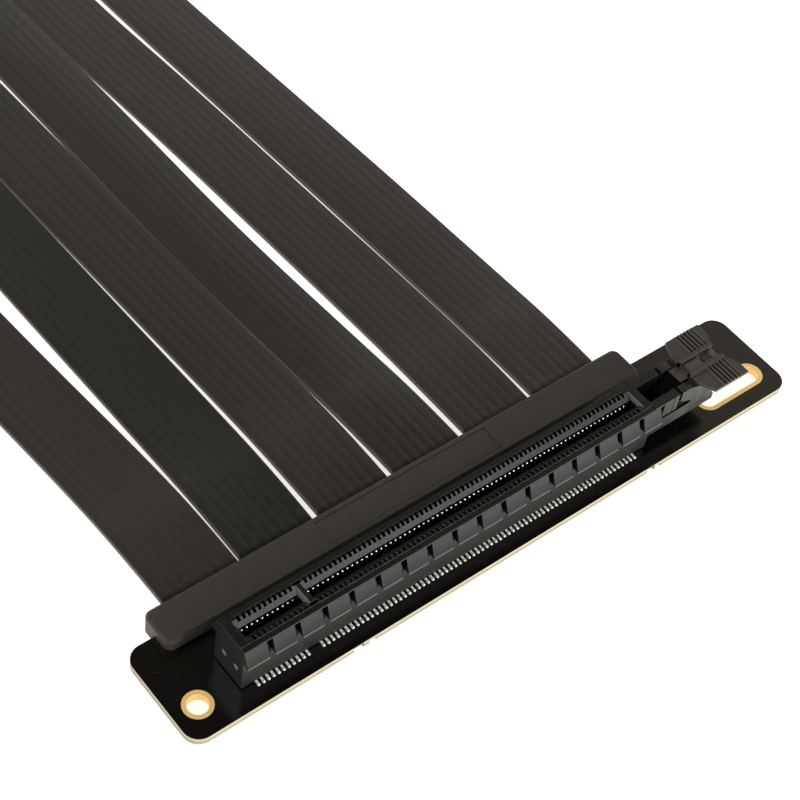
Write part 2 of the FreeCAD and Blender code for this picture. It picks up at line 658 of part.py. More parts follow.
def make_ribbon(k):
    """One flat ribbon: its section swept along its route with its faces kept level."""
    x = BAR_X + RIBBON_1_FROM_BAR_END + k * RIBBON_PITCH
    heights = [MID_Z] + [LAID_Z] * (len(BEND_SHARES) - 2) + [MID_Z]
    points = [V(x, EXIT_Y, MID_Z)]
    for share, drift, z in zip(BEND_SHARES, DRIFTS[k], heights):
        points.append(V(x + drift, EXIT_Y + share * PLUG_DISTANCE, z))
    points.append(V(x + PLUG_SHIFT, PLUG_FRONT_Y, MID_Z))
    path = rounded_path(points, "ribbon_" + str(k + 1))
    w = RIBBON_WIDTH / 2
    t = RIBBON_THICK / 2
    low = MID_Z - t
    high = MID_Z + t
    corners = [V(x - w, EXIT_Y, low), V(x + w, EXIT_Y, low), V(x + w, EXIT_Y, high), V(x - w, EXIT_Y, high)]
    sweep = Part.BRepOffsetAPI.MakePipeShell(path)
    sweep.setBiNormalMode(V(0, 0, 1))
    sweep.add(Part.makePolygon(corners + [corners[0]]), False, False)
    sweep.build()
    sweep.makeSolid()
    solid = sweep.shape()
    ratio = solid.Volume / (path.Length * RIBBON_WIDTH * RIBBON_THICK)
    print("  length", round(path.Length, 2), "volume over section times length", round(ratio, 4))
    return solid


os.makedirs("parts", exist_ok=True)
save("socket_board", make_board())
save("round_hole_plating", make_plating(HOLE_X, 0))
save("slotted_hole_plating", make_plating(SLOTTED_X, SLOTTED_HOLE_SPAN))
save("slot_housing", make_housing(), SOCKET_PLACE)
save("front_contacts", make_contacts(-1), SOCKET_PLACE)
save("rear_contacts", make_contacts(1), SOCKET_PLACE)
save("retention_latch", make_latch(), SOCKET_PLACE + V(PIVOT_X, 0, 0))
save("socket_overmould", make_bar(BAR_X, BAR_REAR_Y - BAR_DEPTH, True, BAR_DEPTH - BAR_REAR_OVERHANG, True))
for k in range(RIBBON_COUNT):
    save("ribbon_" + str(k + 1), make_ribbon(k))
save("plug_overmould", make_bar(BAR_X + PLUG_SHIFT, PLUG_FRONT_Y, False, PLUG_GRIP, False))
save("plug_board", make_plug_board(), PLUG_PLACE)
save("plug_fingers_top", make_fingers(0), PLUG_PLACE)
save("plug_fingers_bottom", make_fingers(-BOARD_THICK - FINGER_THICK), PLUG_PLACE)
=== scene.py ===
import math
import bmesh
import bpy
import numpy as np
from mathutils import Matrix, Vector


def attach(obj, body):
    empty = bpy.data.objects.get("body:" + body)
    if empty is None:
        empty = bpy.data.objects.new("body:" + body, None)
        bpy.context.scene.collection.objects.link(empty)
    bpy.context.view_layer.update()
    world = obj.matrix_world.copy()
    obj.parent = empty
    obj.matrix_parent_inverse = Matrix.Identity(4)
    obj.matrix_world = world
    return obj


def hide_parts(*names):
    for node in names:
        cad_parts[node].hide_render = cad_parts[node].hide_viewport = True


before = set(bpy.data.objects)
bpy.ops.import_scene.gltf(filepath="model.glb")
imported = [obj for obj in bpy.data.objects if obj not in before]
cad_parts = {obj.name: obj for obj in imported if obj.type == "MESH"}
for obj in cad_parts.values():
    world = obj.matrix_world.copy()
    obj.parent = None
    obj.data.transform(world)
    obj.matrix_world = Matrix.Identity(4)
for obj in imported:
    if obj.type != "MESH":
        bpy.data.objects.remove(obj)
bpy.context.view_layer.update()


# Driving sizes in millimetres

MM = 0.001
CONTACT_PITCH = 1.0
KEY_GAP = 3.0
SHORT_GROUP = 11
LONG_GROUP = 71
FIRST_CONTACT_X = -52.85
SLOT_Y = -4.1
BOARD_BOTTOM = 0.8
BOARD_TOP = 2.4
HOUSING_HEIGHT = 11.0
HOUSING_WIDTH = 7.44
HOUSING_LEFT = 2.9
PIVOT_FROM_LAST = 12.0
BAR_BEFORE_CONTACT_1 = 8.6
BAR_DEPTH = 7.5
BAR_OVER_BOARD = 2.3
BAR_REAR_Y = 11.8


# Places that follow from the driving sizes

CONTACT_COUNT = SHORT_GROUP + LONG_GROUP
LAST_CONTACT = (CONTACT_COUNT - 2) * CONTACT_PITCH + KEY_GAP
PIVOT_X = FIRST_CONTACT_X + LAST_CONTACT + PIVOT_FROM_LAST
HALF_HOUSING = HOUSING_WIDTH / 2
HOUSING_LEFT_X = FIRST_CONTACT_X - HOUSING_LEFT
BAR_LEFT_X = FIRST_CONTACT_X - BAR_BEFORE_CONTACT_1
BAR_FRONT_Y = BAR_REAR_Y - BAR_DEPTH
BAR_TOP = BOARD_TOP + BAR_OVER_BOARD


# Camera

AZIMUTH = math.radians(-46.296)
ELEVATION = math.radians(49.726)
ROLL = math.radians(10.169)
DISTANCE = 342.81 * MM
TARGET = Vector((2.904, 25.168, 2.4)) * MM
FOCAL_PIXELS = 1896.45
PICTURE_PIXELS = 800.0
SENSOR = 36.0


def make_camera():
    """The camera at the photograph's viewing angle."""
    back = Vector((
        math.sin(AZIMUTH) * math.cos(ELEVATION),
        -math.cos(AZIMUTH) * math.cos(ELEVATION),
        math.sin(ELEVATION),
    ))
    side = Vector((0, 0, 1)).cross(back).normalized()
    up = back.cross(side)
    across = side * math.cos(ROLL) + up * math.sin(ROLL)
    above = up * math.cos(ROLL) - side * math.sin(ROLL)
    data = bpy.data.cameras.new("camera")
    data.sensor_width = SENSOR
    data.lens = FOCAL_PIXELS / PICTURE_PIXELS * SENSOR
    data.clip_start = 0.01
    data.clip_end = 20
    camera = bpy.data.objects.new("camera", data)
    bpy.context.scene.collection.objects.link(camera)
    turn = Matrix((across, above, back)).transposed()
    camera.matrix_world = Matrix.Translation(TARGET + back * DISTANCE) @ turn.to_4x4()
    bpy.context.scene.camera = camera


make_camera()


# Material helpers

NOISE_LOW = 0.3
NOISE_HIGH = 0.7


def new_material(name):
    """A material with a fresh shader. Returns it with its nodes, its links and the shader."""
    material = bpy.data.materials.new(name)
    material.use_nodes = True
    nodes = material.node_tree.nodes
    nodes.clear()
    output = nodes.new("ShaderNodeOutputMaterial")
    shader = nodes.new("ShaderNodeBsdfPrincipled")
    material.node_tree.links.new(shader.outputs["BSDF"], output.inputs["Surface"])
    return material, nodes, material.node_tree.links, shader


def noise(nodes, links, scale, detail=3.0, stretch=(1, 1, 1), rough=0.5):
    """A noise in the object's own space, stretched along the axes."""
    place = nodes.new("ShaderNodeTexCoord")
    mapping = nodes.new("ShaderNodeMapping")
    mapping.inputs["Scale"].default_value = stretch
    texture = nodes.new("ShaderNodeTexNoise")
    texture.inputs["Scale"].default_value = scale
    texture.inputs["Detail"].default_value = detail
    texture.inputs["Roughness"].default_value = rough
    links.new(place.outputs["Object"], mapping.inputs["Vector"])
    links.new(mapping.outputs["Vector"], texture.inputs["Vector"])
    return texture.outputs["Fac"]


def ranged(nodes, links, value, start, end, low=0.0, high=1.0):
    """A value from start to end, mapped to low to high and held there beyond them."""
    node = nodes.new("ShaderNodeMapRange")
    node.inputs["From Min"].default_value = start
    node.inputs["From Max"].default_value = end
    node.inputs["To Min"].default_value = low
    node.inputs["To Max"].default_value = high
    links.new(value, node.inputs["Value"])
    return node.outputs["Result"]


def spread(nodes, links, value, low, high):
    """A noise's usual range, mapped to low to high."""
    return ranged(nodes, links, value, NOISE_LOW, NOISE_HIGH, low, high)


def axis_of(nodes, links, vector, axis):
    """One component of a vector."""
    split = nodes.new("ShaderNodeSeparateXYZ")
    links.new(vector, split.inputs["Vector"])
    return split.outputs[axis]


def place_along(nodes, links, axis):
    """The place along an axis in the object's own space, in metres."""
    place = nodes.new("ShaderNodeTexCoord")
    return axis_of(nodes, links, place.outputs["Object"], axis)


def facing(nodes, links, axis):
    """How squarely the surface looks along an axis, either way, from 0 to 1."""
    geometry = nodes.new("ShaderNodeNewGeometry")
    size = nodes.new("ShaderNodeMath")
    size.operation = "ABSOLUTE"
    links.new(axis_of(nodes, links, geometry.outputs["Normal"], axis), size.inputs[0])
    return size.outputs["Value"]


def blend_colours(nodes, links, factor, first, second):
    """A mix of two colours or sockets by a factor."""
    mix = nodes.new("ShaderNodeMix")
    mix.data_type = "RGBA"
    links.new(factor, mix.inputs["Factor"])
    for socket, colour in ((mix.inputs["A"], first), (mix.inputs["B"], second)):
        if isinstance(colour, tuple):
            socket.default_value = (*colour, 1)
        else:
            links.new(colour, socket)
    return mix.outputs["Result"]


def colour_ramp(nodes, links, value, stops):
    """A value turned into a colour by stops of (place, colour)."""
    node = nodes.new("ShaderNodeValToRGB")
    elements = node.color_ramp.elements
    for element, (at, colour) in zip(elements, (stops[0], stops[-1])):
        element.position = at
        element.color = (*colour, 1)
    for at, colour in stops[1:-1]:
        elements.new(at).color = (*colour, 1)
    links.new(value, node.inputs["Fac"])
    return node.outputs["Color"]


def add_bump(nodes, links, shader, height, strength, distance):
    """A bump from a height value."""
    bump = nodes.new("ShaderNodeBump")
    bump.inputs["Strength"].default_value = strength
    bump.inputs["Distance"].default_value = distance
    links.new(height, bump.inputs["Height"])
    links.new(bump.outputs["Normal"], shader.inputs["Normal"])


# Plastics and metals

MOTTLE_DEPTH = 0.55


def plastic(name, dark, light, rough, grain, bump, specular=0.5, mottle=0.0):
    """Moulded plastic: a slow colour drift, darker patches where mottle is given, and fine grain."""
    material, nodes, links, shader = new_material(name)
    drift = noise(nodes, links, scale=60, detail=4)
    base = blend_colours(nodes, links, drift, dark, light)
    if mottle:
        patches = noise(nodes, links, scale=620, detail=4, rough=0.65)
        deep = tuple(MOTTLE_DEPTH * c for c in dark)
        base = blend_colours(nodes, links, spread(nodes, links, patches, mottle, 0.0), base, deep)
    links.new(base, shader.inputs["Base Color"])
    fine = noise(nodes, links, scale=grain, detail=2)
    links.new(spread(nodes, links, fine, *rough), shader.inputs["Roughness"])
    shader.inputs["Specular IOR Level"].default_value = specular
    add_bump(nodes, links, shader, fine, bump, 0.04 * MM)
    return material


def metal(name, dark, light, rough, shine=1.0):
    """Plated metal with a slightly uneven sheen. A low shine stands for a matt or dull face."""
    material, nodes, links, shader = new_material(name)
    drift = noise(nodes, links, scale=700)
    links.new(blend_colours(nodes, links, drift, dark, light), shader.inputs["Base Color"])
    shader.inputs["Metallic"].default_value = shine
    fine = noise(nodes, links, scale=900)
    links.new(spread(nodes, links, fine, *rough), shader.inputs["Roughness"])
    add_bump(nodes, links, shader, fine, 0.05, 0.03 * MM)
    return material


# Board: black solder mask on its faces, and bare glass-fibre layers on its cut edges

EDGE_LAYERS = (
    (0.0, (0.34, 0.31, 0.24)), (0.1, (0.42, 0.385, 0.30)), (0.4, (0.36, 0.33, 0.25)),
    (0.5, (0.27, 0.24, 0.17)), (0.57, (0.60, 0.53, 0.37)), (0.86, (0.66, 0.58, 0.39)),
    (0.93, (0.20, 0.16, 0.10)),
)
EDGE_FIBRE = (0.30, 0.25, 0.17)
MASK_DARK = (0.0020, 0.0018, 0.0016)
MASK_LIGHT = (0.0045, 0.0039, 0.0033)
DUST = (0.06, 0.054, 0.046)
DUST_FROM = 0.69
DUST_FULL = 0.74
DUST_COVER = 0.7
EDGE_ROUGH = 0.75
MASK_ROUGH = 0.19
MASK_FACING = 0.5


def board_edge(nodes, links):
    """The colour of the layers on a cut edge, from the board's bottom to its top."""
    height = place_along(nodes, links, "Z")
    level = ranged(nodes, links, height, BOARD_BOTTOM * MM, BOARD_TOP * MM)
    layers = colour_ramp(nodes, links, level, EDGE_LAYERS)
    fibre = noise(nodes, links, scale=900, detail=4, stretch=(0.25, 0.25, 3.0), rough=0.6)
    return blend_colours(nodes, links, spread(nodes, links, fibre, 0.0, 0.35), layers, EDGE_FIBRE)


def board_mask(nodes, links):
    """The colour of the solder mask, with a few specks of dust."""
    drift = noise(nodes, links, scale=40)
    mask = blend_colours(nodes, links, drift, MASK_DARK, MASK_LIGHT)
    specks = noise(nodes, links, scale=1300, detail=2, rough=0.6)
    cover = ranged(nodes, links, specks, DUST_FROM, DUST_FULL, 0.0, DUST_COVER)
    return blend_colours(nodes, links, cover, mask, DUST)


def board_material():
    """The mask where the board looks up or down, and the layers elsewhere."""
    material, nodes, links, shader = new_material("board")
    test = nodes.new("ShaderNodeMath")
    test.operation = "GREATER_THAN"
    test.inputs[1].default_value = MASK_FACING
    links.new(facing(nodes, links, "Z"), test.inputs[0])
    flat = test.outputs["Value"]
    edge = board_edge(nodes, links)
    mask = board_mask(nodes, links)
    links.new(blend_colours(nodes, links, flat, edge, mask), shader.inputs["Base Color"])
    rough = ranged(nodes, links, flat, 0.0, 1.0, EDGE_ROUGH, MASK_ROUGH)
    links.new(rough, shader.inputs["Roughness"])
    weave = noise(nodes, links, scale=420, detail=2)
    add_bump(nodes, links, shader, weave, 0.05, 0.04 * MM)
    return material


# Ribbon sheath

SHEATH_DARK = (0.0205, 0.0168, 0.0125)
SHEATH_LIGHT = (0.0295, 0.0245, 0.0188)
SHEATH_PAINTED_SIDE_LIGHT = (0.12, 0.098, 0.072)
SIDE_LIGHT_FROM = 0.35
SIDE_LIGHT_FULL = 0.8


def ribbon_material(name, shade):
    """Flexible sheath with a soft sheen, and painted light on its sides, which are painted paler
    where they face sideways. shade scales the base colour: each ribbon's own tone mixed with painted
    shade for how its tilt takes the light.
    """
    material, nodes, links, shader = new_material(name)
    dark = tuple(shade * c for c in SHEATH_DARK)
    light = tuple(shade * c for c in SHEATH_LIGHT)
    drift = noise(nodes, links, scale=25, detail=4, stretch=(1.0, 0.25, 1.0))
    base = blend_colours(nodes, links, drift, dark, light)
    streak = noise(nodes, links, scale=450, stretch=(1.0, 0.015, 1.0))
    base = blend_colours(nodes, links, spread(nodes, links, streak, 0.0, 0.55), base, dark)
    # Painted light: the sides, facing along X, are painted paler, as if lit from the side
    side = ranged(nodes, links, facing(nodes, links, "X"), SIDE_LIGHT_FROM, SIDE_LIGHT_FULL)
    base = blend_colours(nodes, links, side, base, SHEATH_PAINTED_SIDE_LIGHT)
    links.new(base, shader.inputs["Base Color"])
    fine = noise(nodes, links, scale=1600, stretch=(1.0, 0.4, 1.0))
    links.new(spread(nodes, links, fine, 0.38, 0.5), shader.inputs["Roughness"])
    add_bump(nodes, links, shader, fine, 0.12, 0.04 * MM)
    return material


# Latch, and the arms that carry it

LATCH_SHADE_Z = 12.7
LATCH_UPPER_Z = 13.3
LATCH_PAINTED_SHADE = (0.0045, 0.0042, 0.004)
LATCH_DARK = (0.024, 0.0222, 0.0198)
LATCH_LIGHT = (0.046, 0.043, 0.039)
ARM_WALL_X = 36.5
ARM_LIT_X = 40.5
ARM_DARK = (0.026, 0.0248, 0.0225)
ARM_LIGHT = (0.066, 0.063, 0.058)


def latch_material():
    """Black plastic, paler grey high up, with painted shade low on the stem: near black where it
    lies in shadow.
    """
    material, nodes, links, shader = new_material("latch")
    drift = noise(nodes, links, scale=160, detail=5, stretch=(0.4, 1.0, 1.0))
    upper_colour = blend_colours(nodes, links, drift, LATCH_DARK, LATCH_LIGHT)
    # Painted shade: low down the colour goes to near black, for the shadow on the stem
    height = place_along(nodes, links, "Z")
    height = ranged(nodes, links, height, LATCH_SHADE_Z * MM, LATCH_UPPER_Z * MM)
    links.new(blend_colours(nodes, links, height, LATCH_PAINTED_SHADE, upper_colour), shader.inputs["Base Color"])
    fine = noise(nodes, links, scale=2600)
    links.new(spread(nodes, links, fine, 0.36, 0.48), shader.inputs["Roughness"])
    add_bump(nodes, links, shader, fine, 0.2, 0.05 * MM)
    return material


def paint_light_on_arms(material):
    """Painted light: the outer faces of the latch's arms are painted paler, in patches, than the
    wall they grow from, as they catch the light.
    """
    nodes = material.node_tree.nodes
    links = material.node_tree.links
    colour = nodes["Principled BSDF"].inputs["Base Color"]
    wall = colour.links[0].from_socket
    along = place_along(nodes, links, "X")
    along = ranged(nodes, links, along, ARM_WALL_X * MM, ARM_LIT_X * MM)
    light_patches = noise(nodes, links, scale=420, detail=5, stretch=(1.0, 1.0, 0.5))
    painted_light = blend_colours(nodes, links, spread(nodes, links, light_patches, 0.0, 1.0), ARM_DARK, ARM_LIGHT)
    links.new(blend_colours(nodes, links, along, wall, painted_light), colour)


# The finishes

BOARD = board_material()
HOUSING = plastic(
    "housing", (0.0060, 0.0056, 0.0051), (0.0112, 0.0105, 0.0096),
    rough=(0.27, 0.36), grain=2600, bump=0.16, specular=0.3, mottle=0.5,
)
# Painted light: the outer walls are coarser, and painted lighter than the tops, as if lit from the
# front
HOUSING_SIDE_PAINTED_LIGHT = plastic(
    "housing_side_painted_light", (0.0115, 0.0106, 0.0096), (0.0175, 0.0163, 0.0148),
    rough=(0.42, 0.52), grain=2600, bump=0.2, specular=0.55, mottle=0.3,
)
# Painted light on the outer faces of the latch's arms
paint_light_on_arms(HOUSING_SIDE_PAINTED_LIGHT)
# Painted highlights on the housing's rounded edges
HOUSING_EDGE_HIGHLIGHT = plastic(
    "housing_edge_highlight", (0.03, 0.028, 0.026), (0.17, 0.16, 0.145),
    rough=(0.4, 0.5), grain=1500, bump=0.1,
)
# Painted highlight for the lines under the pads and the chamfers at the key and the slot's end
LIP_HIGHLIGHT = plastic(
    "pad_lip", (0.11, 0.104, 0.095), (0.24, 0.228, 0.21),
    rough=(0.4, 0.5), grain=1500, bump=0.1,
)
LATCH = latch_material()
# Painted highlights on the latch's rounded edges
LATCH_EDGE_HIGHLIGHT = plastic(
    "latch_edge_highlight", (0.08, 0.075, 0.068), (0.27, 0.258, 0.24),
    rough=(0.4, 0.5), grain=1500, bump=0.1,
)
# Painted shade: near black for the stem and neck, which lie in shadow
LATCH_STEM_SHADE = plastic(
    "latch_stem_painted_shade", (0.0009, 0.0008, 0.0008), (0.0018, 0.0017, 0.0016),
    rough=(0.5, 0.65), grain=2600, bump=0.2, specular=0.04,
)
LATCH_PAD = plastic(
    "latch_pad", (0.062, 0.047, 0.041), (0.1, 0.08, 0.071),
    rough=(0.45, 0.6), grain=2000, bump=0.3,
)
# Painted shade in the hollows between the wing's ridges
LATCH_GROOVE_SHADE = plastic(
    "latch_groove_painted_shade", (0.009, 0.0082, 0.0074), (0.015, 0.0138, 0.0126),
    rough=(0.5, 0.65), grain=2600, bump=0.2, specular=0.3,
)
OVERMOULD = plastic(
    "overmould", (0.029, 0.0258, 0.0214), (0.044, 0.0396, 0.0334),
    rough=(0.48, 0.64), grain=1900, bump=0.5, mottle=0.5,
)
# Painted light: the bar's upright sides are painted paler than its top
OVERMOULD_SIDE_PAINTED_LIGHT = plastic(
    "overmould_side_painted_light", (0.052, 0.0468, 0.0392), (0.076, 0.069, 0.0585),
    rough=(0.48, 0.64), grain=1900, bump=0.5, mottle=0.4,
)
# Painted shadow along the inside of the panel's recess
PANEL_SHADOW = plastic(
    "panel_painted_shadow", (0.009, 0.008, 0.007), (0.015, 0.0135, 0.012),
    rough=(0.55, 0.7), grain=2200, bump=0.3,
)
TIN = metal("tin", (0.72, 0.71, 0.68), (0.9, 0.89, 0.86), rough=(0.16, 0.28))
SOLDER = metal("solder", (0.93, 0.915, 0.87), (0.99, 0.98, 0.95), rough=(0.24, 0.38), shine=0.08)
PLATING = metal("plating", (0.89, 0.585, 0.20), (0.98, 0.72, 0.31), rough=(0.4, 0.52), shine=0.25)
GOLD = metal("gold", (0.82, 0.52, 0.18), (0.95, 0.68, 0.30), rough=(0.18, 0.3))
MARK = plastic(
    "ejector_mark", (0.10, 0.08, 0.07), (0.26, 0.215, 0.19),
    rough=(0.5, 0.65), grain=2400, bump=0.2,
)


def dress(node, material):
    """A CAD node gets one material."""
    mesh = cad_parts[node].data
    mesh.materials.clear()
    mesh.materials.append(material)


for node, material in (
    ("socket_board", BOARD), ("plug_board", BOARD), ("slot_housing", HOUSING),
    ("retention_latch", LATCH), ("socket_overmould", OVERMOULD), ("plug_overmould", OVERMOULD),
    ("front_contacts", TIN), ("rear_contacts", TIN), ("round_hole_plating", PLATING),
    ("slotted_hole_plating", PLATING), ("plug_fingers_top", GOLD), ("plug_fingers_bottom", GOLD),
):
    dress(node, material)


# Piece helpers

MAIN_FINISH = 0
EDGE_HIGHLIGHT_FINISH = 1
KEEP_FINISH = -1
SHARP_ANGLE = math.radians(35.0)
FLAT_ANGLE = math.radians(0.6)
NORMAL_WEIGHT = 80
# In metres
WELD_DISTANCE = 1e-7


def add_piece(name, verts, faces, material, body="cable", smooth=False):
    """A new mesh piece that rides on a body. Points are in metres."""
    mesh = bpy.data.meshes.new(name)
    mesh.from_pydata([tuple(v) for v in verts], [], faces)
    mesh.validate()
    mesh.update()
    if smooth:
        mesh.shade_smooth()
    mesh.materials.append(material)
    piece = bpy.data.objects.new(name, mesh)
    bpy.context.scene.collection.objects.link(piece)
    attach(piece, body)
    return piece


def finish_mesh(piece, modifiers):
    """The piece's modifiers are added in order and applied to its mesh."""
    for kind, settings in modifiers:
        modifier = piece.modifiers.new(kind.lower(), kind)
        for key, value in settings.items():
            setattr(modifier, key, value)
    bpy.context.view_layer.update()
    graph = bpy.context.evaluated_depsgraph_get()
    mesh = bpy.data.meshes.new_from_object(piece.evaluated_get(graph))
    piece.modifiers.clear()
    old = piece.data
    piece.data = mesh
    bpy.data.meshes.remove(old)


def soft_edged(node, name, material, width, segments=2, body="cable", edge=None):
    """A node's shape with its edges rounded a little, and a painted highlight on the roundings in
    the edge material.
    """
    shape = bmesh.new()
    shape.from_mesh(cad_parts[node].data)
    bmesh.ops.remove_doubles(shape, verts=shape.verts, dist=WELD_DISTANCE)
    bmesh.ops.dissolve_limit(shape, angle_limit=FLAT_ANGLE, verts=shape.verts, edges=shape.edges)
    mesh = bpy.data.meshes.new(name)
    shape.to_mesh(mesh)
    shape.free()
    mesh.shade_smooth()
    mesh.materials.clear()
    mesh.materials.append(material)
    if edge:
        mesh.materials.append(edge)
    piece = bpy.data.objects.new(name, mesh)
    bpy.context.scene.collection.objects.link(piece)
    finish_mesh(piece, (
        ("BEVEL", {
            "width": width, "segments": segments, "limit_method": "ANGLE",
            "angle_limit": SHARP_ANGLE, "use_clamp_overlap": True,
            "material": EDGE_HIGHLIGHT_FINISH if edge else KEEP_FINISH,
        }),
        ("WEIGHTED_NORMAL", {"keep_sharp": False, "weight": NORMAL_WEIGHT}),
    ))
    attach(piece, body)
    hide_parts(node)
    return piece


def add_finish(mesh, material):
    """One more material on a mesh. Returns its index."""
    mesh.materials.append(material)
    return len(mesh.materials) - 1


def outward(face, kept):
    """The face as it is, or turned over."""
    return face if kept else tuple(reversed(face))


def band_faces(first, rings, around):
    """The faces between rings of points that follow one another."""
    faces = []
    for r in range(rings - 1):
        for j in range(around):
            a = first + r * around + j
            b = first + r * around + (j + 1) % around
            faces.append((a, b, b + around, a + around))
    return faces


# Places where a moulding's finish changes

STEM_RIGHT = PIVOT_X + 1.45
STEM_TOP = 12.95
NECK_RIGHT = PIVOT_X + 2.05
NECK_HALF = 1.62
WEB_PAD_Z = 13.6
WEB_HALF = 1.05
GROOVE_Z = 13.78
GROOVE_LEFT = PIVOT_X + 5.3
GROOVE_RIGHT = PIVOT_X + 9.45
GROOVE_FROM_MIDDLE = 1.9
WALL_FROM_MIDDLE = 3.6
SLOT_HALF = 2.1
CHAMFER_LOW = 12.3
KEY_CHAMFER = (-42.3, -41.65)
END_CHAMFER = (31.2, 31.8)
# Limits on one component of a face's normal
UPRIGHT = 0.55
SQUARE_ON = 0.97
LEANS_LEFT = -0.3
LOOKS_UP = 0.5


def finish_bar(mesh):
    """The bar's upright sides get painted light: they are paler than its top, as if lit from the
    side.
    """
    side = add_finish(mesh, OVERMOULD_SIDE_PAINTED_LIGHT)
    for face in mesh.polygons:
        if abs(face.normal.z) < UPRIGHT:
            face.material_index = side


def finish_housing(mesh):
    """The outer walls are coarser and painted lighter, as if lit from the front, and the chamfers at
    the key and the slot's end get a painted highlight.
    """
    wall = add_finish(mesh, HOUSING_SIDE_PAINTED_LIGHT)
    painted_light = add_finish(mesh, LIP_HIGHLIGHT)
    for face in mesh.polygons:
        x, y, z = face.center / MM
        off = abs(y - SLOT_Y)
        outer = off > WALL_FROM_MIDDLE and abs(face.normal.y) > SQUARE_ON
        if outer and face.material_index == MAIN_FINISH:
            face.material_index = wall
        # Painted highlight on the chamfers that face the light
        on_chamfer = any(left < x < right for left, right in (KEY_CHAMFER, END_CHAMFER))
        in_slot = off < SLOT_HALF and z > CHAMFER_LOW
        if on_chamfer and in_slot and face.normal.x < LEANS_LEFT:
            face.material_index = painted_light


def finish_latch(mesh):
    """Painted shade: a near-black stem and neck, where they lie in shadow, and painted shade in the
    hollows between the ridges; pale pads on the web.
    """
    stem_shade = add_finish(mesh, LATCH_STEM_SHADE)
    pad = add_finish(mesh, LATCH_PAD)
    groove_shade = add_finish(mesh, LATCH_GROOVE_SHADE)
    for face in mesh.polygons:
        x, y, z = face.center / MM
        off = abs(y - SLOT_Y)
        on_stem = x < STEM_RIGHT and z < STEM_TOP
        on_neck = x < NECK_RIGHT and off < NECK_HALF
        on_web = x > STEM_RIGHT and off < WEB_HALF and z > WEB_PAD_Z
        on_wing = GROOVE_LEFT < x < GROOVE_RIGHT and off > GROOVE_FROM_MIDDLE
        if on_stem or on_neck:
            face.material_index = stem_shade
        elif on_web:
            face.material_index = pad
        elif on_wing and z < GROOVE_Z and face.normal.z > LOOKS_UP:
            face.material_index = groove_shade


# Moulded parts: the CAD shapes with the small roundings that a mould leaves

HOUSING_ROUND = 0.05
LATCH_ROUND = 0.09
BAR_ROUND = 0.3

housing = soft_edged(
    "slot_housing", "housing_shell", HOUSING, HOUSING_ROUND * MM,
    edge=HOUSING_EDGE_HIGHLIGHT,
)
finish_housing(housing.data)
latch = soft_edged(
    "retention_latch", "latch_shell", LATCH, LATCH_ROUND * MM,
    body="latch", edge=LATCH_EDGE_HIGHLIGHT,
)
finish_latch(latch.data)
bars = {}
for node, name in (("socket_overmould", "bar_shell"), ("plug_overmould", "plug_bar_shell")):
    bars[node] = soft_edged(node, name, OVERMOULD, BAR_ROUND * MM, segments=3)
    finish_bar(bars[node].data)


# The blank panel's painted shadow: dark strips laid along the inside of its recess, where its wall
# casts shade

PANEL_START = 33.9
PANEL_LENGTH = 37.7
PANEL_FRONT = 1.2
PANEL_REAR = 1.1
PANEL_DEEP = 0.12
PANEL_LEFT_X = BAR_LEFT_X + PANEL_START
PANEL_RIGHT_X = PANEL_LEFT_X + PANEL_LENGTH
PANEL_FRONT_Y = BAR_FRONT_Y + PANEL_FRONT
PANEL_REAR_Y = BAR_REAR_Y - PANEL_REAR
PANEL_FLOOR_Z = BAR_TOP - PANEL_DEEP
SHADOW_LINE_WIDE = 0.22
SHADOW_LINE_TALL = 0.02
BOX_FACES = ((3, 2, 1, 0), (4, 5, 6, 7), (0, 1, 5, 4), (1, 2, 6, 5), (2, 3, 7, 6), (3, 0, 4, 7))


def make_panel_shadow():
    """Four thin dark strips that follow the panel's outline, a painted shadow."""
    strips = (
        (PANEL_LEFT_X, PANEL_RIGHT_X, PANEL_REAR_Y - SHADOW_LINE_WIDE, PANEL_REAR_Y),
        (PANEL_LEFT_X, PANEL_RIGHT_X, PANEL_FRONT_Y, PANEL_FRONT_Y + SHADOW_LINE_WIDE),
        (PANEL_LEFT_X, PANEL_LEFT_X + SHADOW_LINE_WIDE, PANEL_FRONT_Y, PANEL_REAR_Y),
        (PANEL_RIGHT_X - SHADOW_LINE_WIDE, PANEL_RIGHT_X, PANEL_FRONT_Y, PANEL_REAR_Y),
    )
    verts = []
    faces = []
    for x0, x1, y0, y1 in strips:
        first = len(verts)
        for z in (PANEL_FLOOR_Z - SHADOW_LINE_TALL, PANEL_FLOOR_Z + SHADOW_LINE_TALL):
            for x, y in ((x0, y0), (x1, y0), (x1, y1), (x0, y1)):
                verts.append(Vector((x, y, z)) * MM)
        for face in BOX_FACES:
            faces.append(tuple(first + j for j in face))
    add_piece("panel_painted_shadow", verts, faces, PANEL_SHADOW)


make_panel_shadow()


# Contacts

CONTACT_HALF = 0.22
STRIP_HALF = 0.09
# The outline of a strip's section, as shares of its half width and half thickness
STRIP_RING = ((-1, -0.5), (-0.6, -1), (0.6, -1), (1, -0.5), (1, 0.5), (0.6, 1), (-0.6, 1), (-1, 0.5))
# Each point's distance from the slot's middle and its height over the board
SPRING = (
    (1.5, 8.7), (1.36, 8.86), (1.24, 8.93), (1.1, 8.93), (0.98, 8.86), (0.9, 8.74), (0.85, 8.55),
    (0.86, 8.3), (0.95, 7.9), (1.12, 7.4), (1.45, 6.5), (1.75, 5.2), (1.95, 3.6), (2.2, 2.0),
)
FOOT = (
    (2.4, 2.4), (2.4, 0.9), (2.46, 0.5), (2.62, 0.24), (2.9, 0.15),
    (3.8, 0.13), (4.2, 0.12), (4.6, 0.12),
)


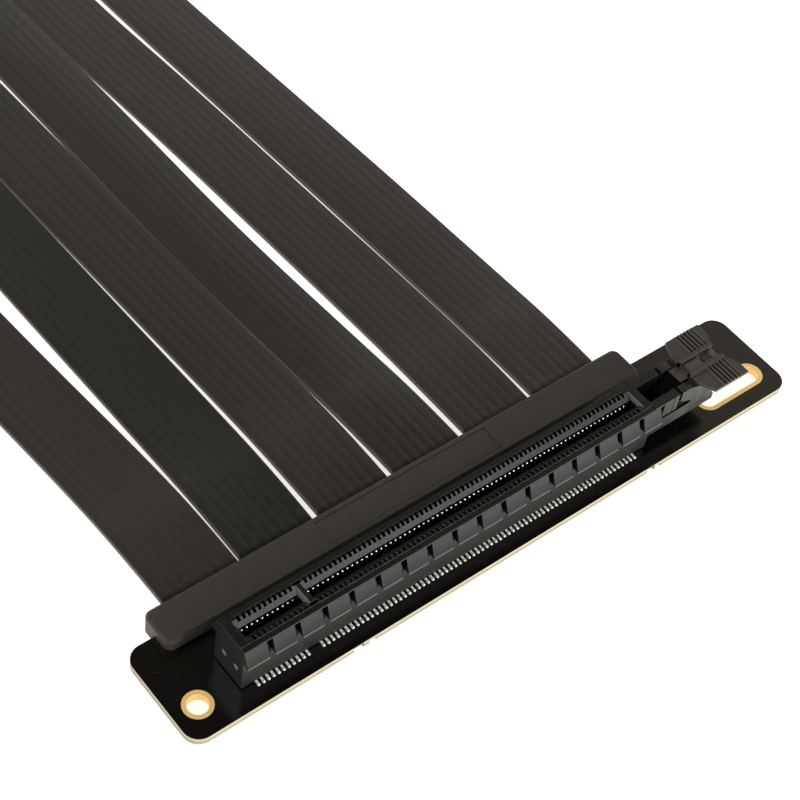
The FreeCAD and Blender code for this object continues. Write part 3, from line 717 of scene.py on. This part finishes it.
def contact_x(i):
    """The place along the slot of contact i."""
    past_key = i >= SHORT_GROUP
    return FIRST_CONTACT_X + i * CONTACT_PITCH + (KEY_GAP - CONTACT_PITCH) * past_key


def on_socket(x, y, z):
    """A point in metres. y is measured from the slot's middle, and z from the board's top."""
    return Vector((x, SLOT_Y + y, BOARD_TOP + z)) * MM


def strip(points, x, verts, faces, side):
    """A thin springy strip along a contact's points."""
    first = len(verts)
    n = len(points)
    m = len(STRIP_RING)
    for i, (y, z) in enumerate(points):
        y0, z0 = points[max(i - 1, 0)]
        y1, z1 = points[min(i + 1, n - 1)]
        long = math.hypot(y1 - y0, z1 - z0)
        ny = -(z1 - z0) / long
        nz = (y1 - y0) / long
        for a, b in STRIP_RING:
            off = y + b * STRIP_HALF * ny
            verts.append(on_socket(x + a * CONTACT_HALF, side * off, z + b * STRIP_HALF * nz))
    for face in band_faces(first, n, m):
        faces.append(outward(face, side > 0))
    start = tuple(range(first, first + m))
    end = tuple(reversed(range(first + (n - 1) * m, first + n * m)))
    for face in (start, end):
        faces.append(outward(face, side < 0))


def make_contacts(node, side):
    """One side's row of contacts: the springs, and the dull feet that the solder has wetted."""
    for part, points, material in (("_springs", SPRING, TIN), ("_feet", FOOT, SOLDER)):
        verts = []
        faces = []
        for i in range(CONTACT_COUNT):
            strip(points, contact_x(i), verts, faces, side)
        piece = add_piece(node + part, verts, faces, material, smooth=True)
        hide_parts(node)


# Solder fillets

# The least and the spare half width, half length, height and distance from the slot's middle
SOLDER_SIZES = ((0.27, 0.02), (0.31, 0.04), (0.3, 0.07), (4.43, 0.03))
SOLDER_RINGS = 4
SOLDER_AROUND = 12
SOLDER_SINK = 0.02
SOLDER_SHOULDER = 0.8
SOLDER_CORNER = 0.75


def squared(value):
    """A sine or cosine moved outward, which turns a circle into a soft square."""
    return math.copysign(abs(value) ** SOLDER_CORNER, value)


def fillet(x, sizes, side, verts, faces):
    """One low rounded dome of solder."""
    wide, long, tall, middle = sizes
    first = len(verts)
    for r in range(SOLDER_RINGS):
        turn = math.pi / 2 * r / SOLDER_RINGS
        flat = math.cos(turn) ** SOLDER_SHOULDER
        for j in range(SOLDER_AROUND):
            a = 2 * math.pi * j / SOLDER_AROUND
            off = middle + long * flat * squared(math.sin(a))
            height = tall * math.sin(turn) - SOLDER_SINK
            verts.append(on_socket(x + wide * flat * squared(math.cos(a)), side * off, height))
    top = len(verts)
    verts.append(on_socket(x, side * middle, tall - SOLDER_SINK))
    for face in band_faces(first, SOLDER_RINGS, SOLDER_AROUND):
        faces.append(outward(face, side > 0))
    last = first + (SOLDER_RINGS - 1) * SOLDER_AROUND
    for j in range(SOLDER_AROUND):
        faces.append(outward((last + j, last + (j + 1) % SOLDER_AROUND, top), side > 0))
    faces.append(outward(tuple(range(first, first + SOLDER_AROUND)), side < 0))


def make_solder(name, side, seed):
    """The solder at each foot, no two fillets quite alike."""
    draws = np.random.default_rng(seed)
    verts = []
    faces = []
    for i in range(CONTACT_COUNT):
        sizes = [least + spare * draws.random() for least, spare in SOLDER_SIZES]
        fillet(contact_x(i), sizes, side, verts, faces)
    add_piece(name, verts, faces, SOLDER, smooth=True)


make_contacts("front_contacts", -1)
make_contacts("rear_contacts", 1)
make_solder("front_solder", -1, seed=11)
make_solder("rear_solder", 1, seed=12)


# Small mouldings on the housing's pads

PAD_COUNT = 17
PADS_PAST_LAST = 5.39
PAD_GAP = 1.2
PAD_FLARE = 1.25
PAD_HEIGHT = 3.5
PAD_PITCH = (HOUSING_LEFT + LAST_CONTACT + PADS_PAST_LAST) / PAD_COUNT
PAD_WIDTH = PAD_PITCH - PAD_GAP
PAD_LOW = HOUSING_HEIGHT - PAD_HEIGHT
LIP_HEIGHT = 0.16
LIP_PROUD = 0.07
LIP_SINK = 0.1
LIP_CHAMFER = 0.4
FLANK_TOP = 10.45
FLANK_EDGE = 0.25
FLANK_SINK = 0.05
FLANK_FACES = ((0, 1, 3), (1, 2, 3), (2, 4, 3), (0, 4, 2, 1), (0, 3, 4))


def pad_lip(x0, side, verts, faces):
    """The raised line under one pad: a bar with its outer top edge chamfered."""
    outer = side * (HALF_HOUSING + PAD_FLARE)
    inside = outer - side * LIP_SINK
    outside = outer + side * LIP_PROUD
    cut = LIP_CHAMFER * LIP_HEIGHT
    outline = (
        (inside, PAD_LOW), (outside, PAD_LOW), (outside, PAD_LOW + LIP_HEIGHT - cut),
        (outside - side * cut * LIP_CHAMFER, PAD_LOW + LIP_HEIGHT), (inside, PAD_LOW + LIP_HEIGHT),
    )
    first = len(verts)
    n = len(outline)
    for x in (x0, x0 + PAD_WIDTH):
        for y, z in outline:
            verts.append(on_socket(x, y, z))
    for j in range(n):
        face = (first + j, first + (j + 1) % n, first + n + (j + 1) % n, first + n + j)
        faces.append(outward(face, side < 0))
    faces.append(outward(tuple(range(first, first + n)), side > 0))
    faces.append(outward(tuple(range(first + n, first + 2 * n)), side < 0))


def make_pad_lips():
    """The moulded line along the lower edge of each pad, on both sides, with a painted highlight."""
    verts = []
    faces = []
    for side in (-1, 1):
        for k in range(PAD_COUNT):
            pad_lip(HOUSING_LEFT_X + k * PAD_PITCH, side, verts, faces)
    add_piece("pad_lips", verts, faces, LIP_HIGHLIGHT)


def make_pad_flanks():
    """The webs that slope from each pad's right edge back to the wall, across the gap's foot."""
    verts = []
    faces = []
    for side in (-1, 1):
        wall = side * (HALF_HOUSING - FLANK_SINK)
        out = side * (HALF_HOUSING + PAD_FLARE - FLANK_SINK)
        for k in range(PAD_COUNT - 1):
            x0 = HOUSING_LEFT_X + k * PAD_PITCH + PAD_WIDTH - FLANK_SINK
            x1 = HOUSING_LEFT_X + (k + 1) * PAD_PITCH + FLANK_SINK
            corners = (
                (x0, wall, FLANK_TOP), (x0, out, PAD_LOW + FLANK_EDGE), (x0, out, PAD_LOW),
                (x1, wall, PAD_LOW), (x0, wall, PAD_LOW),
            )
            first = len(verts)
            for corner in corners:
                verts.append(on_socket(*corner))
            for face in FLANK_FACES:
                faces.append(outward(tuple(first + j for j in face), side < 0))
    # The flanks take the outer walls' painted light
    add_piece("pad_flanks", verts, faces, HOUSING_SIDE_PAINTED_LIGHT)


make_pad_lips()
make_pad_flanks()


# The two round marks on the housing's left end

MARK_RADIUS = 0.62
MARK_HEIGHT = 4.6
MARK_PLACES = (-1.9, 1.3)
MARK_AROUND = 20
# Each ring's share of the radius and its depth in the end
MARK_RINGS = ((1.0, 0.01), (0.85, -0.02), (0.5, -0.03))


def make_end_marks():
    """The two pale witness marks, hardly proud of the end."""
    verts = []
    faces = []
    for place in MARK_PLACES:
        first = len(verts)
        for share, depth in MARK_RINGS:
            for j in range(MARK_AROUND):
                a = 2 * math.pi * j / MARK_AROUND
                y = place + share * MARK_RADIUS * math.cos(a)
                z = MARK_HEIGHT + share * MARK_RADIUS * math.sin(a)
                verts.append(on_socket(HOUSING_LEFT_X + depth, y, z))
        for a, b, c, d in band_faces(first, len(MARK_RINGS), MARK_AROUND):
            faces.append((a, d, c, b))
        last = first + (len(MARK_RINGS) - 1) * MARK_AROUND
        faces.append(tuple(reversed(range(last, last + MARK_AROUND))))
        faces.append(tuple(range(first, first + MARK_AROUND)))
    add_piece("end_marks", verts, faces, MARK, smooth=True)


make_end_marks()


# Ribbons: the six flat cords on the part's own routes, moved a little sideways as photographed

RIBBON_COUNT = 6
RIBBON_WIDTH = 15.3
RIBBON_THICK = 1.05
SIDE_ROUND = 0.42
RIB_COUNT = 7
RIB_PITCH = 1.93
RIB_DEEP = 0.055
RIB_STEPS = 8
RIB_FULLNESS = 0.8
FACE_DROP = 0.4 * RIB_DEEP
SIDE_STEPS = 8
PLUG_DISTANCE = 200.0
PLUG_SHIFT = -4.8
FIRST_EXIT_X = -49.75
LAST_EXIT_X = 31.25
EXIT_Z = 2.3
LAID_Z = 0.55
SPLINE_STEPS = 10
CROWN_RUN_IN = 8.0
BEND_SHARES = (0.055, 0.145, 0.32, 0.51, 0.695, 0.855, 0.945)
EXIT_DRIFTS = (0.35, -0.3, -0.15, 0.0, 0.25, 0.2)
DRIFTS = (
    (0.25, 0.2, -2.7, -4.9, -5.2, -4.9, PLUG_SHIFT),
    (-0.2, 0.15, -0.85, -1.9, -3.4, -4.7, PLUG_SHIFT),
    (0.05, 0.65, -0.85, -2.25, -3.5, -4.7, PLUG_SHIFT),
    (-0.15, -0.1, -2.45, -2.85, -3.5, -5.2, PLUG_SHIFT),
    (0.15, 1.0, -0.55, -2.35, -5.1, -4.8, PLUG_SHIFT),
    (0.1, 0.7, -0.9, -2.75, -4.6, -4.8, PLUG_SHIFT),
)
# How far each ribbon's right side is raised at the route's points
RISES = (
    (0.45, 0.2, 0.0, 0.1, 0.1, 0.0, 0.0),
    (0.45, 0.95, 0.9, 1.0, 0.5, 0.1, 0.0),
    (0.3, 0.2, 0.15, 0.2, 0.1, 0.1, 0.0),
    (0.35, 0.2, 0.4, 0.6, 0.2, 0.1, 0.0),
    (0.75, 0.5, 0.0, 0.0, 0.1, 0.1, 0.0),
    (0.7, 0.6, 0.8, 0.35, 0.2, 0.1, 0.0),
)
# How far each ribbon's middle is raised over its sides
CROWNS = (-0.2, -0.25, 0.1, 0.6, 0.1, 0.3)
# Each ribbon's base colour scale: its own tone, and painted shade for how its tilt takes the light
TONES_AND_PAINTED_SHADE = (0.62, 0.14, 0.46, 0.5, 0.74, 0.92)


def route_points(k, across):
    """A ribbon's route in metres: across is 0 on its middle line and 1 on its right side."""
    x = FIRST_EXIT_X + k * (LAST_EXIT_X - FIRST_EXIT_X) / (RIBBON_COUNT - 1)
    x += across * RIBBON_WIDTH / 2
    points = [Vector((x + EXIT_DRIFTS[k], BAR_REAR_Y, EXIT_Z))]
    heights = [EXIT_Z] + [LAID_Z] * (len(BEND_SHARES) - 2) + [EXIT_Z]
    for share, drift, z, rise in zip(BEND_SHARES, DRIFTS[k], heights, RISES[k]):
        lift = rise * (1 + across) / 2
        points.append(Vector((x + drift, BAR_REAR_Y + share * PLUG_DISTANCE, z + lift)))
    points.append(Vector((x + PLUG_SHIFT, BAR_REAR_Y + PLUG_DISTANCE, EXIT_Z)))
    return [p * MM for p in points]


def spline_points(points, name):
    """Points along the smooth spline that has the route's points as its control points."""
    data = bpy.data.curves.new(name, "CURVE")
    data.dimensions = "3D"
    data.resolution_u = SPLINE_STEPS
    spline = data.splines.new("NURBS")
    spline.points.add(len(points) - 1)
    for target, point in zip(spline.points, points):
        target.co = (*point, 1)
    spline.order_u = 3
    spline.use_endpoint_u = True
    holder = bpy.data.objects.new(name, data)
    bpy.context.scene.collection.objects.link(holder)
    bpy.context.view_layer.update()
    mesh = bpy.data.meshes.new_from_object(holder)
    found = [v.co.copy() for v in mesh.vertices]
    bpy.data.objects.remove(holder)
    bpy.data.meshes.remove(mesh)
    return found


def ribbon_section():
    """The cross-section as (across, height) pairs: rounded sides and soft ribs on both faces."""
    half = RIBBON_WIDTH / 2
    thick = RIBBON_THICK / 2
    shoulder = thick - FACE_DROP
    ribs = RIB_COUNT * RIB_PITCH / 2
    top = [(SIDE_ROUND - half, shoulder)]
    for i in range(RIB_COUNT * RIB_STEPS + 1):
        crest = abs(math.sin(math.pi * i / RIB_STEPS)) ** RIB_FULLNESS
        top.append((-ribs + i * RIB_PITCH / RIB_STEPS, thick - RIB_DEEP * (1 - crest)))
    top.append((half - SIDE_ROUND, shoulder))
    right = []
    for i in range(1, SIDE_STEPS):
        a = math.pi / 2 - i * math.pi / SIDE_STEPS
        x = half - SIDE_ROUND + SIDE_ROUND * math.cos(a)
        right.append((x, shoulder * math.sin(a)))
    bottom = [(x, -z) for x, z in reversed(top)]
    left = [(-x, z) for x, z in reversed(right)]
    return top + right + bottom + left


def sweep(k, centres, sides):
    """The section carried along the spline, level at both ends and as it lies between them."""
    section = ribbon_section()
    last = len(centres) - 1
    verts = []
    for i, centre in enumerate(centres):
        ahead = (centres[min(i + 1, last)] - centres[max(i - 1, 0)]).normalized()
        across = (sides[i] - centre).normalized()
        across = (across - ahead * across.dot(ahead)).normalized()
        above = across.cross(ahead)
        crown = CROWNS[k] * min(1.0, CROWN_RUN_IN * min(i, last - i) / last)
        for x, z in section:
            bow = crown * (1 - (2 * x / RIBBON_WIDTH) ** 2) + max(-crown, 0.0)
            verts.append(centre + (across * x + above * (z + bow)) * MM)
    n = len(section)
    faces = []
    for i in range(last):
        for j in range(n):
            a = i * n + j
            b = i * n + (j + 1) % n
            faces.append((a, a + n, b + n, b))
    faces.append(tuple(range(n)))
    faces.append(tuple(reversed(range(last * n, (last + 1) * n))))
    return verts, faces


def make_ribbon(k):
    """One ribbon, which carries the plug at its far end with the others."""
    centres = spline_points(route_points(k, 0), "route_line")
    sides = spline_points(route_points(k, 1), "side_line")
    verts, faces = sweep(k, centres, sides)
    name = "ribbon_" + str(k + 1)
    material = ribbon_material(name, TONES_AND_PAINTED_SHADE[k])
    piece = add_piece(name + "_sheath", verts, faces, material, smooth=True)
    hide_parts(name)


for k in range(RIBBON_COUNT):
    make_ribbon(k)


# Floor, backdrop and light, with their sizes and places in metres

FLOOR_HALF = 6.0
FLOOR_Z = -0.0002
SURROUND = (
    (0.6, (0.88, 0.86, 0.83)), (0.7, (0.78, 0.68, 0.54)),
    (0.76, (0.4, 0.32, 0.22)), (0.83, (0.03, 0.028, 0.026)),
)
# Each light's name, place, size, power and the point it aims at
LAMPS = (
    ("key", (0.33, -0.6, 0.6), 0.34, 2.2, (0, 0, 0)),
    ("fill", (-0.45, 0.35, 0.95), 0.5, 2.2, (0, 0.05, 0)),
    ("low_front", (0.2, -0.75, 0.14), 0.26, 2.1, (-0.02, 0, 0)),
)


def make_floor():
    """A bright white floor."""
    mesh = bpy.data.meshes.new("floor")
    corners = [(x * FLOOR_HALF, y * FLOOR_HALF, 0) for x, y in ((-1, -1), (1, -1), (1, 1), (-1, 1))]
    mesh.from_pydata(corners, [], [(0, 1, 2, 3)])
    floor = bpy.data.objects.new("floor", mesh)
    bpy.context.scene.collection.objects.link(floor)
    material, _, _, shader = new_material("floor")
    shader.inputs["Base Color"].default_value = (0.9, 0.9, 0.9, 1)
    shader.inputs["Roughness"].default_value = 0.9
    shader.inputs["Specular IOR Level"].default_value = 0.0
    shader.inputs["Emission Color"].default_value = (1, 1, 1, 1)
    shader.inputs["Emission Strength"].default_value = 0.7
    mesh.materials.append(material)
    floor.location.z = FLOOR_Z


def make_surround():
    """A surround that is white low down and dark overhead."""
    world = bpy.data.worlds.new("world")
    bpy.context.scene.world = world
    world.use_nodes = True
    nodes = world.node_tree.nodes
    links = world.node_tree.links
    place = nodes.new("ShaderNodeTexCoord")
    height = axis_of(nodes, links, place.outputs["Generated"], "Z")
    shade = colour_ramp(nodes, links, height, SURROUND)
    links.new(shade, nodes["Background"].inputs["Color"])


def make_lamps():
    """The softboxes."""
    for name, place, size, power, aim in LAMPS:
        data = bpy.data.lights.new(name, "AREA")
        data.size = size
        data.energy = power
        lamp = bpy.data.objects.new(name, data)
        lamp.location = place
        lamp.rotation_mode = "QUATERNION"
        lamp.rotation_quaternion = (Vector(aim) - Vector(place)).to_track_quat("-Z", "Y")
        bpy.context.scene.collection.objects.link(lamp)


make_floor()
make_surround()
make_lamps()
bpy.context.scene.view_settings.view_transform = "Standard"
